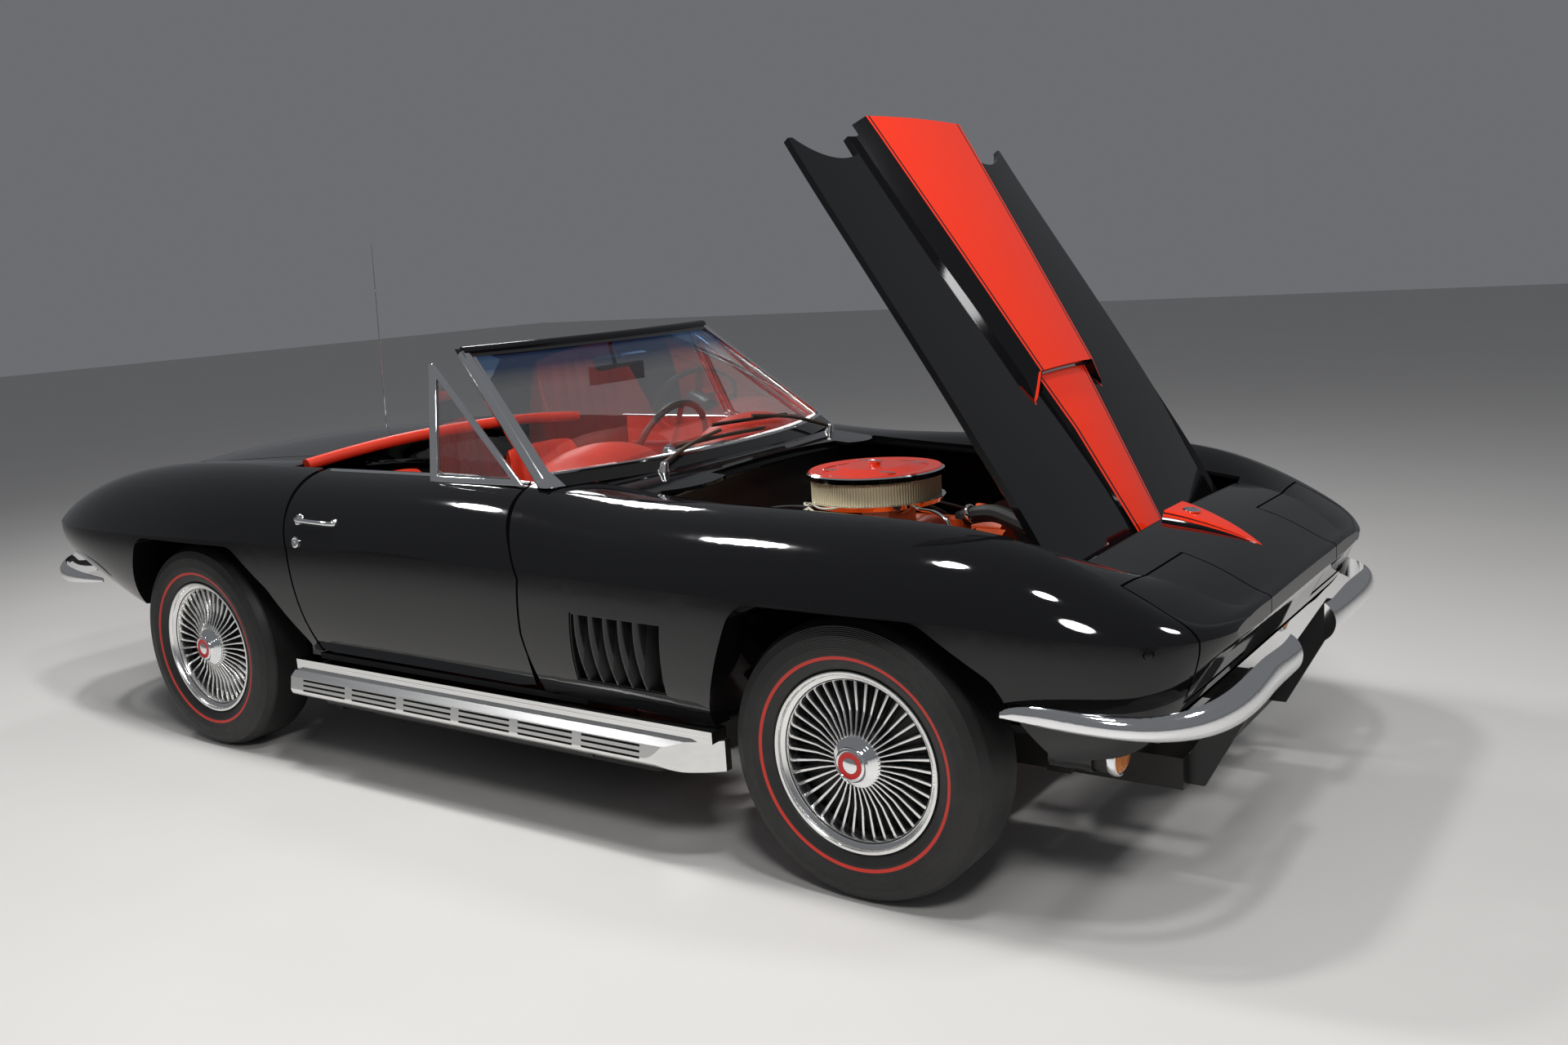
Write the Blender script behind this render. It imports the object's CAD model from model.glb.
import math

import bpy
from mathutils import Matrix, Vector


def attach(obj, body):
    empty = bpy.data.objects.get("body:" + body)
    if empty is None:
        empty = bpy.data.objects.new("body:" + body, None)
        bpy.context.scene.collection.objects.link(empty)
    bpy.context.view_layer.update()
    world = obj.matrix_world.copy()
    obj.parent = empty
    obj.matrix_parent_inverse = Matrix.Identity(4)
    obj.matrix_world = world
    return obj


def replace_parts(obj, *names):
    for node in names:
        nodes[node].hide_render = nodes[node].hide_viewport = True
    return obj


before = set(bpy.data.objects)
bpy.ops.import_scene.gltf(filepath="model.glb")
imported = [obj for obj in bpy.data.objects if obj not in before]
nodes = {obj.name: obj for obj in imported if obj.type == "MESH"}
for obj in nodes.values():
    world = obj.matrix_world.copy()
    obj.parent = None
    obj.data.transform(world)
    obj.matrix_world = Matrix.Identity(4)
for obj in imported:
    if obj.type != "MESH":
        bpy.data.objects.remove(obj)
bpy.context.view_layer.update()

# Ladder frame: welded box rails and cross members under the floor, in satin black chassis paint.
# The paint is brushed thin on the edges, with a film of road dust over its upper faces.


class Socket:
    """A node output that maths operators turn into further nodes."""

    def __init__(self, tree, out):
        self.tree, self.out = tree, out

    def math(self, operation, *others):
        node = self.tree.nodes.new("ShaderNodeMath")
        node.operation = operation
        for slot, value in zip(node.inputs, (self, *others)):
            if isinstance(value, Socket):
                self.tree.links.new(value.out, slot)
            else:
                slot.default_value = value
        return Socket(self.tree, node.outputs[0])

    def __add__(self, other):
        return self.math("ADD", other)

    __radd__ = __add__

    def __sub__(self, other):
        return self.math("SUBTRACT", other)

    def __mul__(self, other):
        return self.math("MULTIPLY", other)

    __rmul__ = __mul__

    def __neg__(self):
        return self.math("MULTIPLY", -1.0)

    def __rsub__(self, other):
        return -self + other

    def __abs__(self):
        return self.math("ABSOLUTE")

    def __pow__(self, power):
        return self.math("POWER", power)

    def over(self, level):
        return self.math("GREATER_THAN", level)

    def under(self, level):
        return self.math("LESS_THAN", level)

    def within(self, low, high):
        return self.over(low) * self.under(high)


class Finish:
    """A material whose object coordinates are at hand as the sockets x, y and z."""

    def __init__(self, name, color, metallic=0.0, roughness=0.4):
        self.material = bpy.data.materials.new(name)
        self.material.use_nodes = True
        self.tree = self.material.node_tree
        self.shader = self.tree.nodes["Principled BSDF"]
        self.set(Metallic=metallic, Roughness=roughness)
        self.shader.inputs["Base Color"].default_value = (*color, 1)
        self.place = self.tree.nodes.new("ShaderNodeTexCoord").outputs["Object"]
        self.x, self.y, self.z = self.split(self.place)

    def set(self, **values):
        for name, value in values.items():
            self.shader.inputs[name.replace("_", " ")].default_value = value

    def node(self, kind, settings, output, **inputs):
        """Any other node: its settings first, then the values or links of its sockets."""
        node = self.tree.nodes.new(kind)
        for name, value in settings.items():
            setattr(node, name, value)
        for name, value in inputs.items():
            slot = node.inputs[int(name[1:])] if name[1:].isdigit() else node.inputs[name.replace("_", " ")]
            if isinstance(value, Socket):
                self.tree.links.new(value.out, slot)
            else:
                slot.default_value = value
        return Socket(self.tree, node.outputs[output])

    def split(self, vector):
        node = self.tree.nodes.new("ShaderNodeSeparateXYZ")
        self.tree.links.new(vector, node.inputs[0])
        return [Socket(self.tree, out) for out in node.outputs]

    def noise(self, scale, detail=4.0, stretch=(1, 1, 1)):
        spot = self.node("ShaderNodeMapping", {}, "Vector", Vector=Socket(self.tree, self.place),
                         Scale=stretch)
        return self.node("ShaderNodeTexNoise", {}, "Fac", Vector=spot, Scale=scale, Detail=detail)

    def cells(self, scale):
        return self.node("ShaderNodeTexVoronoi", {}, "Distance", Vector=Socket(self.tree, self.place),
                         Scale=scale)

    def ramp(self, amount, low, high, start=0.0, end=1.0):
        """A value that runs from low to high as amount goes from start to end."""
        return self.node("ShaderNodeMapRange", {}, "Result", Value=amount, From_Min=start, From_Max=end,
                         To_Min=low, To_Max=high)

    def mix(self, amount, first, second):
        """A colour between two, each a colour or an earlier mix."""
        ends = [c if isinstance(c, Socket) else (*c, 1) for c in (first, second)]
        return self.node("ShaderNodeMix", {"data_type": "RGBA"}, 2, _0=amount, _6=ends[0], _7=ends[1])

    def feed(self, **sockets):
        for name, socket in sockets.items():
            self.tree.links.new(socket.out, self.shader.inputs[name.replace("_", " ")])

    def tone(self, scale, dark, light):
        """Lets the colour drift between two."""
        self.feed(Base_Color=self.mix(self.noise(scale), dark, light))

    def wear(self, scale, low, high):
        """Lets the roughness drift between two values."""
        self.feed(Roughness=self.ramp(self.noise(scale), low, high))

    def bump(self, height, depth=0.001, strength=0.5):
        self.feed(Normal=self.node("ShaderNodeBump", {}, "Normal", Height=height, Distance=depth,
                                   Strength=strength))


AXLE = 1.412  # the frame's X of the front axle; places below are given ahead of it


def dress(finish, *names):
    """Gives CAD nodes their finish."""
    for name in names:
        nodes[name].data.materials.clear()
        nodes[name].data.materials.append(finish.material)


chassis_paint = Finish("chassis_paint", (0.012, 0.012, 0.012))
dust = chassis_paint.noise(7.0)
chassis_paint.feed(Base_Color=chassis_paint.mix(dust, (0.008, 0.008, 0.008), (0.026, 0.023, 0.019)),
                   Roughness=chassis_paint.ramp(dust, 0.34, 0.66))
chassis_paint.bump(chassis_paint.noise(160.0), 0.0004)
dress(chassis_paint, "chassis_frame", "steering_column")

# Suspension: black wishbones, half shafts and trailing arms, bolted to the frame, with coil springs in front.
# The knuckles and hubs are bare cast iron, dull grey with a film of rust in the hollows.
arm_paint = Finish("arm_paint", (0.02, 0.02, 0.02), roughness=0.5)
arm_wear = arm_paint.noise(24.0)
arm_paint.feed(Base_Color=arm_paint.mix(arm_wear, (0.01, 0.01, 0.01), (0.05, 0.045, 0.04)))
coil = (arm_paint.z * 190.0).math("SINE")
SPRING_Y = 0.425
near_spring = (abs(abs(arm_paint.y) - SPRING_Y).under(0.06) * arm_paint.x.over(AXLE - 0.1)
               * arm_paint.z.over(0.26))
arm_paint.bump(coil * near_spring, 0.006, 0.9)
dress(arm_paint, "front_suspension", "rear_suspension")
bare_iron = Finish("bare_iron", (0.12, 0.11, 0.1), metallic=0.8, roughness=0.5)
rust = bare_iron.noise(45.0)
bare_iron.feed(Base_Color=bare_iron.mix(rust, (0.16, 0.155, 0.15), (0.11, 0.06, 0.035)),
               Roughness=bare_iron.ramp(rust, 0.38, 0.75))
bare_iron.bump(bare_iron.noise(150.0), 0.0005)
dress(bare_iron, "knuckle_left", "knuckle_right")

# Floor tub: moulded floor, sills and firewall bonded into one, with dark red loop carpet in the cockpit.
# Ahead of the firewall and under the floor the moulding is painted satin black.
carpet = Finish("loop_carpet", (0.16, 0.012, 0.008), roughness=0.9)
loops = carpet.noise(420.0, 2.0)
FIREWALL_X, SILL_END_X, BULKHEAD_X = AXLE - 0.8015, AXLE - 1.945, AXLE - 2.13
FLOOR_TOP, WELL_TOP, SILL_Y, WELL_HALF_W = 0.2065, 0.4795, 0.662, 0.59
footwells = carpet.x.within(SILL_END_X, FIREWALL_X) * carpet.z.over(FLOOR_TOP) * abs(carpet.y).under(SILL_Y)
well = carpet.x.under(BULKHEAD_X) * carpet.z.over(WELL_TOP) * abs(carpet.y).under(WELL_HALF_W)
inside = footwells + well
carpet.feed(Base_Color=carpet.mix(inside, (0.01, 0.01, 0.01),
                                  carpet.mix(loops, (0.07, 0.004, 0.003), (0.24, 0.018, 0.011))),
            Roughness=carpet.ramp(inside, 0.45, 0.95))
carpet.bump(loops * inside, 0.003, 0.8)
dress(carpet, "floor_tub")

# Body: front and rear mouldings, doors and lids in gloss black, polished until it mirrors the room.
# The faint ripple of hand rubbing shows in it, and the engine bay behind the fenders is only satin.
PAINT_BLACK = (0.0035, 0.0035, 0.004)
enamel = Finish("black_enamel", PAINT_BLACK, roughness=0.05)
haze = enamel.noise(3.0)
in_bay = (abs(enamel.y).under(0.447) * enamel.x.within(AXLE - 0.8, AXLE + 0.455)
          * enamel.z.under(0.79)).math("MINIMUM", 1.0)
enamel.feed(Roughness=enamel.ramp(in_bay, enamel.ramp(haze, 0.03, 0.07), 0.4))
enamel.bump(enamel.noise(90.0, 2.0), 0.00006, 0.25)
dress(enamel, "body_front", "body_rear", "deck_lid", "headlamp_pod_left", "headlamp_pod_right")

# Hood: one moulding with a raised scoop, tipped open on its front linkage. A red stripe runs down the
# ridge and over the scoop, edged with a black line and a thin red one. The pattern is laid out shut.
HOOD_OPEN = math.radians(52.5)
HOOD_PIVOT = (AXLE + 0.376, 0.82)
HOOD_FRONT = 0.445
STRIPE_RED = (0.74, 0.029, 0.006)
hood_paint = Finish("hood_enamel", PAINT_BLACK, roughness=0.05)
turned_pivot = (HOOD_PIVOT[0] * math.cos(HOOD_OPEN) - HOOD_PIVOT[1] * math.sin(HOOD_OPEN),
                HOOD_PIVOT[0] * math.sin(HOOD_OPEN) + HOOD_PIVOT[1] * math.cos(HOOD_OPEN))
shut = hood_paint.node("ShaderNodeMapping", {}, "Vector", Vector=Socket(hood_paint.tree, hood_paint.place),
                       Rotation=(0, -HOOD_OPEN, 0),
                       Location=(HOOD_PIVOT[0] - turned_pivot[0], 0, HOOD_PIVOT[1] - turned_pivot[1]))
shut_x, shut_y, shut_z = hood_paint.split(shut.out)
shut_x = shut_x - AXLE
out_y = abs(shut_y)
MOUTH_X = -0.005
ahead = shut_x.over(MOUTH_X)
ridge_w = (0.0841 + (HOOD_FRONT - shut_x) * 0.1085).math("MAXIMUM", 0.146 + (MOUTH_X - shut_x) * 0.194)
scoop_w = 0.162 + (MOUTH_X - shut_x) * 0.1118
ridge_top = shut_z.over(0.783 + (HOOD_FRONT - shut_x) * 0.129)
scoop_top = shut_z.over(0.867 + (MOUTH_X - shut_x) * 0.0867)


FIELD_INSET, LINE_INSET, LINE_EDGE = 0.0165, 0.0095, 0.0005


def striped(width):
    """The red field between the raised form's edges, and the thin line that runs along them."""
    return out_y.under(width - FIELD_INSET) + out_y.within(width - LINE_INSET, width - LINE_EDGE)


tail = abs(out_y - (0.162 + (shut_x - MOUTH_X) * 0.717)).under(0.0028) * shut_x.under(0.06)
stripe = (ahead * (ridge_top * striped(ridge_w) + tail) + (1 - ahead) * scoop_top * striped(scoop_w))
normal_x, normal_y, normal_z = hood_paint.split(hood_paint.node("ShaderNodeTexCoord", {}, "Normal").out)
outer_face = (normal_x * math.sin(HOOD_OPEN) + normal_z * math.cos(HOOD_OPEN)).over(0.05)
stripe = stripe.math("MINIMUM", 1.0) * outer_face
hood_paint.feed(Base_Color=hood_paint.mix(stripe, PAINT_BLACK, STRIPE_RED),
                Roughness=hood_paint.ramp(hood_paint.noise(3.0), 0.03, 0.08))
hood_paint.bump(hood_paint.noise(90.0, 2.0), 0.00006, 0.25)
dress(hood_paint, "hood")

# Stripe's tip on the nose panel: a low wedge that carries the ridge on past the hood's front edge to a point.
# It is moulded in the panel, painted red between two fine lines, with a plain bright stud at its middle.


def fit(name, body, slot, *finishes, angle=35):
    """Names the active piece, gives it its finishes and fixes it to a body of the car."""
    piece = bpy.context.object
    bpy.ops.object.transform_apply(location=True, rotation=True, scale=True)
    bpy.ops.object.shade_smooth_by_angle(angle=math.radians(angle))
    piece.name = piece.data.name = name
    if not piece.data.materials:
        for finish in finishes:
            piece.data.materials.append(finish.material)
    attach(piece, body)
    bpy.ops.object.select_all(action="DESELECT")
    return piece


def edit_all():
    """Opens the active piece in edit mode with all of it selected."""
    bpy.ops.object.mode_set(mode="EDIT")
    bpy.ops.mesh.select_all(action="SELECT")


def face_outward():
    """Turns every face of the piece in edit mode outward and leaves that mode."""
    bpy.ops.mesh.select_all(action="SELECT")
    bpy.ops.mesh.normals_make_consistent(inside=False)
    bpy.ops.object.mode_set(mode="OBJECT")


def drop_on(node, x, y):
    """The height of a CAD node's upper skin over a place ahead of the front axle."""
    hit, spot, normal, face = nodes[node].ray_cast(Vector((AXLE + x, y, 3)), Vector((0, 0, -1)))
    return spot.z


TIP_REAR, TIP_FRONT, TIP_HALF_W, TIP_RISE = 0.456, 0.672, 0.086, 0.022
bpy.ops.object.select_all(action="DESELECT")
bpy.ops.mesh.primitive_grid_add(x_subdivisions=24, y_subdivisions=16, size=2)
for vertex in bpy.context.object.data.vertices:
    along, across = (vertex.co.x + 1) / 2, vertex.co.y
    x = TIP_REAR + along * (TIP_FRONT - TIP_REAR)
    y = across * TIP_HALF_W * (1 - along) ** 0.8
    shoulder = min(1.0, (1 - abs(across)) * 5.5)
    rise = TIP_RISE * (1 - along ** 1.6) * shoulder - (0.003 if shoulder < 0.1 else 0.0)
    vertex.co = (AXLE + x, y, drop_on("body_front", x, y) + rise)
bpy.ops.object.mode_set(mode="EDIT")
bpy.ops.mesh.select_all(action="DESELECT")
bpy.ops.mesh.select_mode(type="EDGE")
bpy.ops.mesh.select_all(action="SELECT")
bpy.ops.mesh.region_to_loop()
bpy.ops.mesh.extrude_region_move(TRANSFORM_OT_translate={"value": (0, 0, -0.006)})
bpy.ops.mesh.edge_face_add()
bpy.ops.mesh.select_all(action="SELECT")
bpy.ops.mesh.remove_doubles(threshold=0.0002)
bpy.ops.mesh.normals_make_consistent(inside=False)
bpy.ops.object.mode_set(mode="OBJECT")
tip_paint = Finish("tip_enamel", STRIPE_RED, roughness=0.05)
from_point = (AXLE + TIP_FRONT - tip_paint.x) * (1 / (TIP_FRONT - TIP_REAR))
tip_w = from_point.math("MAXIMUM", 0.001) ** 0.8 * TIP_HALF_W
inner = abs(tip_paint.y).under(tip_w * 0.82) + abs(tip_paint.y).within(tip_w * 0.87, tip_w * 0.92)
tip_paint.feed(Base_Color=tip_paint.mix(inner, PAINT_BLACK, STRIPE_RED),
               Roughness=tip_paint.ramp(tip_paint.noise(3.0), 0.03, 0.08))
fit("nose_tip", "car", "body", tip_paint)

CHROME = (0.9, 0.91, 0.92)
chrome = Finish("bright_chrome", CHROME, metallic=1.0, roughness=0.05)
chrome.wear(14.0, 0.025, 0.1)


def spun(outline, spot, aim=(0, 0, 1), steps=48):
    """A round piece: an outline of (distance along the axis, radius) pairs, spun about that axis."""
    bpy.ops.object.select_all(action="DESELECT")
    bpy.ops.mesh.primitive_circle_add(vertices=len(outline), radius=1)
    piece = bpy.context.object
    for vertex, (along, radius) in zip(piece.data.vertices, outline):
        vertex.co = (radius, 0, along)
    edit_all()
    bpy.ops.mesh.spin(steps=steps, angle=2 * math.pi, center=(0, 0, 0), axis=(0, 0, 1))
    bpy.ops.mesh.select_all(action="SELECT")
    bpy.ops.mesh.remove_doubles(threshold=0.00002)
    bpy.ops.mesh.delete_loose()
    face_outward()
    turn = Vector(aim).to_track_quat("Z", "Y").to_matrix().to_4x4()
    piece.matrix_world = Matrix.Translation(Vector(spot)) @ turn
    return piece


STUD_X = 0.5
stud_z = drop_on("body_front", STUD_X, 0) + TIP_RISE - 0.002
spun([(0, 0), (0, 0.021), (0.003, 0.022), (0.0055, 0.019), (0.0045, 0.015), (0.0075, 0.008), (0.008, 0)],
     (AXLE + STUD_X, 0, stud_z), (0.12, 0, 1))
fit("nose_stud", "car", "chrome", chrome)

# Headlamps: two sealed lamps in each turning pod, hidden until the pod rolls over.
# Each is a fluted glass lens over a silvered bowl, held by a bright rim in the pod's back face.
lamp_glass = Finish("fluted_glass", (0.78, 0.84, 0.88), metallic=0.35, roughness=0.08)
lamp_glass.bump((lamp_glass.y * 900.0).math("SINE"), 0.0012, 0.6)
lamp_glass.wear(30.0, 0.05, 0.14)
LAMP_X, LAMP_Z, LAMP_STEP, POD_Y = 0.59, 0.645, 0.084, 0.469
SIDES = (("left", 1), ("right", -1))
for side, hand in SIDES:
    for place, step in (("inner", -LAMP_STEP), ("outer", LAMP_STEP)):
        y = hand * (POD_Y + step)
        spun([(0, 0), (0, 0.069), (0.006, 0.069), (0.01, 0.066), (0.01, 0.062), (0.006, 0.06), (0.004, 0)],
             (AXLE + LAMP_X, y, LAMP_Z), (-1, 0, 0))
        fit(f"lamp_rim_{place}_{side}", f"headlamp_pod_{side}", "chrome", chrome)
        spun([(0, 0), (0, 0.06), (0.004, 0.06), (0.0075, 0.05), (0.01, 0.03), (0.011, 0)],
             (AXLE + LAMP_X, y, LAMP_Z), (-1, 0, 0))
        fit(f"lamp_lens_{place}_{side}", f"headlamp_pod_{side}", "clear", lamp_glass)

# Engine: a big vee block in orange enamel, with its rocker covers and intake, and the gearbox bolted behind.
# The carburettor and gearbox are bare castings, and the drives at its front are painted black.
orange = Finish("engine_orange", (0.83, 0.1, 0.008), roughness=0.35)
soot = orange.noise(11.0)
painted = orange.mix(soot, (0.62, 0.06, 0.004), (0.9, 0.13, 0.01))
ex = orange.x - AXLE
ey = abs(orange.y)
INTAKE_TOP = 0.6905
carb = orange.z.over(INTAKE_TOP) * ey.under(0.08) * ex.within(-0.485, -0.315)
ahead_of_block = ex.over(-0.086) * orange.z.under(0.63)
gearbox = ex.under(-0.64)
cap_black = orange.z.over(INTAKE_TOP) * ex.within(-0.62, -0.53)
dark = (ahead_of_block + cap_black).math("MINIMUM", 1.0)
bare = (carb + gearbox).math("MINIMUM", 1.0)
orange.feed(Base_Color=orange.mix(bare, orange.mix(dark, painted, (0.012, 0.012, 0.012)),
                                  orange.mix(soot, (0.42, 0.39, 0.33), (0.62, 0.58, 0.5))),
            Metallic=bare * 0.85, Roughness=orange.ramp(orange.noise(40.0), 0.26, 0.5))
orange.bump(orange.noise(120.0), 0.0006, 0.4)
dress(orange, "engine")

satin = Finish("satin_aluminium", (0.84, 0.84, 0.83), metallic=1.0, roughness=0.24)
brushed = satin.noise(60.0, 3.0, (1, 0.06, 1))
satin.feed(Roughness=satin.ramp(brushed, 0.16, 0.34),
           Base_Color=satin.mix(satin.noise(5.0), (0.76, 0.76, 0.75), (0.9, 0.9, 0.89)))
rubber = Finish("black_rubber", (0.013, 0.013, 0.013), roughness=0.55)
rubber.wear(26.0, 0.42, 0.7)
rubber.bump(rubber.noise(220.0), 0.0003, 0.4)


def run(points, radius, steps=3, order=3):
    """A round tube or wire along a smooth line through places given ahead of the front axle."""
    bpy.ops.object.select_all(action="DESELECT")
    line = bpy.data.curves.new("run", "CURVE")
    line.dimensions = "3D"
    line.bevel_depth = radius
    line.bevel_resolution = steps
    line.use_fill_caps = True
    spline = line.splines.new("NURBS")
    spline.points.add(len(points) - 1)
    for point, (x, y, z) in zip(spline.points, points):
        point.co = (AXLE + x, y, z, 1)
    spline.order_u = order
    spline.use_endpoint_u = True
    spline.resolution_u = 8
    piece = bpy.data.objects.new("run", line)
    bpy.context.scene.collection.objects.link(piece)
    bpy.context.view_layer.objects.active = piece
    piece.select_set(True)
    bpy.ops.object.convert(target="MESH")
    return bpy.context.object


for name, points, radius, finish, slot in (
    ("radiator_hose", [(-0.14, 0, 0.735), (-0.06, 0, 0.766), (0.04, -0.03, 0.748), (0.18, -0.1, 0.715),
                       (0.29, -0.17, 0.692), (0.345, -0.19, 0.672)], 0.024, rubber, "frame"),
    ("lower_hose", [(0.0, -0.225, 0.47), (0.1, -0.225, 0.47), (0.2, -0.22, 0.42), (0.3, -0.2, 0.36),
                    (0.36, -0.2, 0.36)], 0.022, rubber, "frame"),
    ("heater_hose", [(-0.2, -0.1, 0.66), (-0.22, -0.22, 0.72), (-0.4, -0.3, 0.735), (-0.62, -0.28, 0.75),
                     (-0.79, -0.26, 0.72)], 0.011, rubber, "frame"),
    ("heater_return", [(-0.16, -0.1, 0.65), (-0.2, -0.26, 0.7), (-0.42, -0.34, 0.71),
                       (-0.64, -0.33, 0.72), (-0.79, -0.32, 0.68)], 0.011, rubber, "frame"),
    ("fuel_line", [(-0.3, -0.06, 0.752), (-0.245, -0.095, 0.772), (-0.205, -0.135, 0.796),
                   (-0.174, -0.16, 0.789), (-0.117, -0.18, 0.792), (-0.06, -0.212, 0.774),
                   (-0.04, -0.232, 0.735), (-0.038, -0.238, 0.65)], 0.0055, chrome, "chrome"),
    ("tank_hose", [(-0.16, -0.372, 0.685), (-0.1, -0.36, 0.735), (0.08, -0.3, 0.735), (0.24, -0.22, 0.715),
                   (0.345, -0.13, 0.685)], 0.01, rubber, "frame"),
    ("throttle_cable", [(-0.4, -0.07, 0.745), (-0.5, -0.12, 0.772), (-0.66, -0.16, 0.778),
                        (-0.79, -0.18, 0.74)], 0.0035, rubber, "frame"),
):
    run(points, radius)
    fit(name, "car", slot, finish)
for place, spot, radius, aim in (("front", (-0.105, 0, 0.752), 0.0265, (1, 0, 0.45)),
                                 ("rear", (0.327, -0.184, 0.678), 0.0265, (1, -0.35, -0.35))):
    spun([(-0.006, radius - 0.003), (-0.006, radius), (-0.002, radius + 0.0015), (0.002, radius + 0.0015),
          (0.006, radius), (0.006, radius - 0.003)], (AXLE + spot[0], spot[1], spot[2]), aim)
    fit(f"hose_clamp_{place}", "car", "chrome", chrome)
CAP_X = -0.575
lead = Finish("plug_lead", (0.62, 0.58, 0.46), roughness=0.5)
lead.tone(30.0, (0.5, 0.46, 0.36), (0.72, 0.68, 0.56))
for side, hand in SIDES:
    for i, plug_x in enumerate((-0.2, -0.32, -0.44, -0.56)):
        run([(CAP_X + 0.022 * (i - 1.5), hand * 0.022, 0.755), (CAP_X + 0.03 * (i - 1.5), hand * 0.08, 0.782),
             ((plug_x + CAP_X) / 2 - 0.05, hand * 0.215, 0.755 - 0.008 * i), (plug_x, hand * 0.315, 0.69),
             (plug_x, hand * 0.345, 0.61)], 0.004, 2)
        fit(f"plug_lead_{side}_{i + 1}", "car", "bright", lead if hand < 0 else rubber)
for side, hand in SIDES:
    for i in range(5):
        bolt_y, bolt_z = (0.29, 0.652) if i % 2 else (0.318, 0.624)
        spun([(0, 0), (0, 0.008), (0.005, 0.008), (0.006, 0.0065), (0.006, 0)],
             (AXLE - 0.17 - i * 0.1, hand * bolt_y, bolt_z), (0, hand * 0.69, 0.72), 6)
        fit(f"cover_bolt_{side}_{i + 1}", "car", "bright", satin)
blower = Finish("blower_cream", (0.5, 0.47, 0.38), roughness=0.45)
blower.tone(16.0, (0.42, 0.39, 0.31), (0.58, 0.55, 0.46))
spun([(0, 0), (0, 0.058), (0.05, 0.06), (0.055, 0.052), (0.085, 0.05), (0.092, 0.044), (0.092, 0.014),
      (0.097, 0.012), (0.097, 0)], (AXLE - 0.79, -0.36, 0.735), (1, 0, 0.1))
fit("blower_motor", "car", "bright", blower)
spun([(0, 0), (0, 0.044), (0.008, 0.046), (0.06, 0.046), (0.066, 0.05), (0.074, 0.05), (0.08, 0.034),
      (0.086, 0.03), (0.086, 0)], (AXLE - 0.7, 0.375, 0.69))
fit("brake_reservoir", "car", "bright", satin)
run([(-0.79, 0.375, 0.7), (-0.74, 0.375, 0.7)], 0.036)
fit("brake_cylinder", "car", "frame", bare_iron)

# Air cleaner: a pleated paper drum between a chrome pan and a red lid, with a wing nut over the carburettor.
# The lid is enamelled red, its rolled rim is chrome, and the paper shows as fine upright pleats all round.
filter_paint = Finish("air_cleaner_lid", (0.75, 0.02, 0.008), roughness=0.12)
CLEANER_X = AXLE - 0.402
dx, dy = filter_paint.x - CLEANER_X, filter_paint.y
away = (dx * dx + dy * dy).math("SQRT")
pleats = (dx.math("ARCTAN2", dy) * 140.0).math("SINE")
is_paper = filter_paint.z.within(0.7905, 0.8515) * away.under(0.19)
is_lid = filter_paint.z.over(0.866) * away.under(0.189)
paper = filter_paint.mix(pleats * 0.5 + 0.5, (0.6, 0.49, 0.27), (0.85, 0.76, 0.52))
steel = filter_paint.mix(is_paper, (0.88, 0.89, 0.9), paper)
filter_paint.feed(Base_Color=filter_paint.mix(is_lid, steel, STRIPE_RED),
                  Metallic=(1 - is_paper) * (1 - is_lid), Roughness=is_paper * 0.8 + 0.09)
filter_paint.bump(pleats * is_paper, 0.002, 0.8)
dress(filter_paint, "air_cleaner")
STAMPING_R = 0.128
for i in range(4):
    turn = math.radians(45 + 90 * i)
    spun([(0, 0), (0, 0.0125), (0.002, 0.013), (0.0035, 0.01), (0.004, 0)],
         (CLEANER_X + STAMPING_R * math.cos(turn), STAMPING_R * math.sin(turn), 0.8725))
    bpy.context.object.scale = (2.2, 0.55, 1)
    fit(f"lid_stamping_{i + 1}", "car", "filter", chrome)
bpy.ops.object.select_all(action="DESELECT")
bpy.ops.mesh.primitive_cube_add(size=1, location=(CLEANER_X, 0, 0.8885), scale=(0.044, 0.006, 0.008))
bpy.ops.object.transform_apply(location=True, rotation=True, scale=True)
edit_all()
bpy.ops.mesh.bevel(offset=0.0025, segments=3, affect="EDGES")
bpy.ops.object.mode_set(mode="OBJECT")
fit("wing_nut", "car", "chrome", chrome)

# Radiator and tank: a black radiator with fine upright fins and a red filler cap at the front of the bay.
# A plain aluminium header tank lies on the right inner fender, held by a band.
core = Finish("radiator_black", (0.012, 0.012, 0.012), roughness=0.4)
core.bump((core.y * 2600.0).math("SINE") * core.z.under(0.639), 0.0015, 0.6)
core.wear(30.0, 0.32, 0.5)
dress(core, "radiator")
dress(satin, "expansion_tank")
for place, x in (("front", -0.17), ("rear", -0.33)):
    spun([(-0.008, 0.0495), (-0.008, 0.0515), (0.008, 0.0515), (0.008, 0.0495)], (AXLE + x, -0.372, 0.64),
         (1, 0, 0))
    fit(f"tank_band_{place}", "car", "frame", chassis_paint)
cap_red = Finish("cap_red", (0.55, 0.02, 0.01), roughness=0.3)
cap_red.wear(30.0, 0.2, 0.45)
spun([(0, 0), (0, 0.024), (0.01, 0.024), (0.012, 0.034), (0.018, 0.034), (0.022, 0.026), (0.026, 0.012),
      (0.026, 0)], (AXLE + 0.385, 0.1, 0.7))
fit("radiator_cap", "car", "filter", cap_red)

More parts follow.
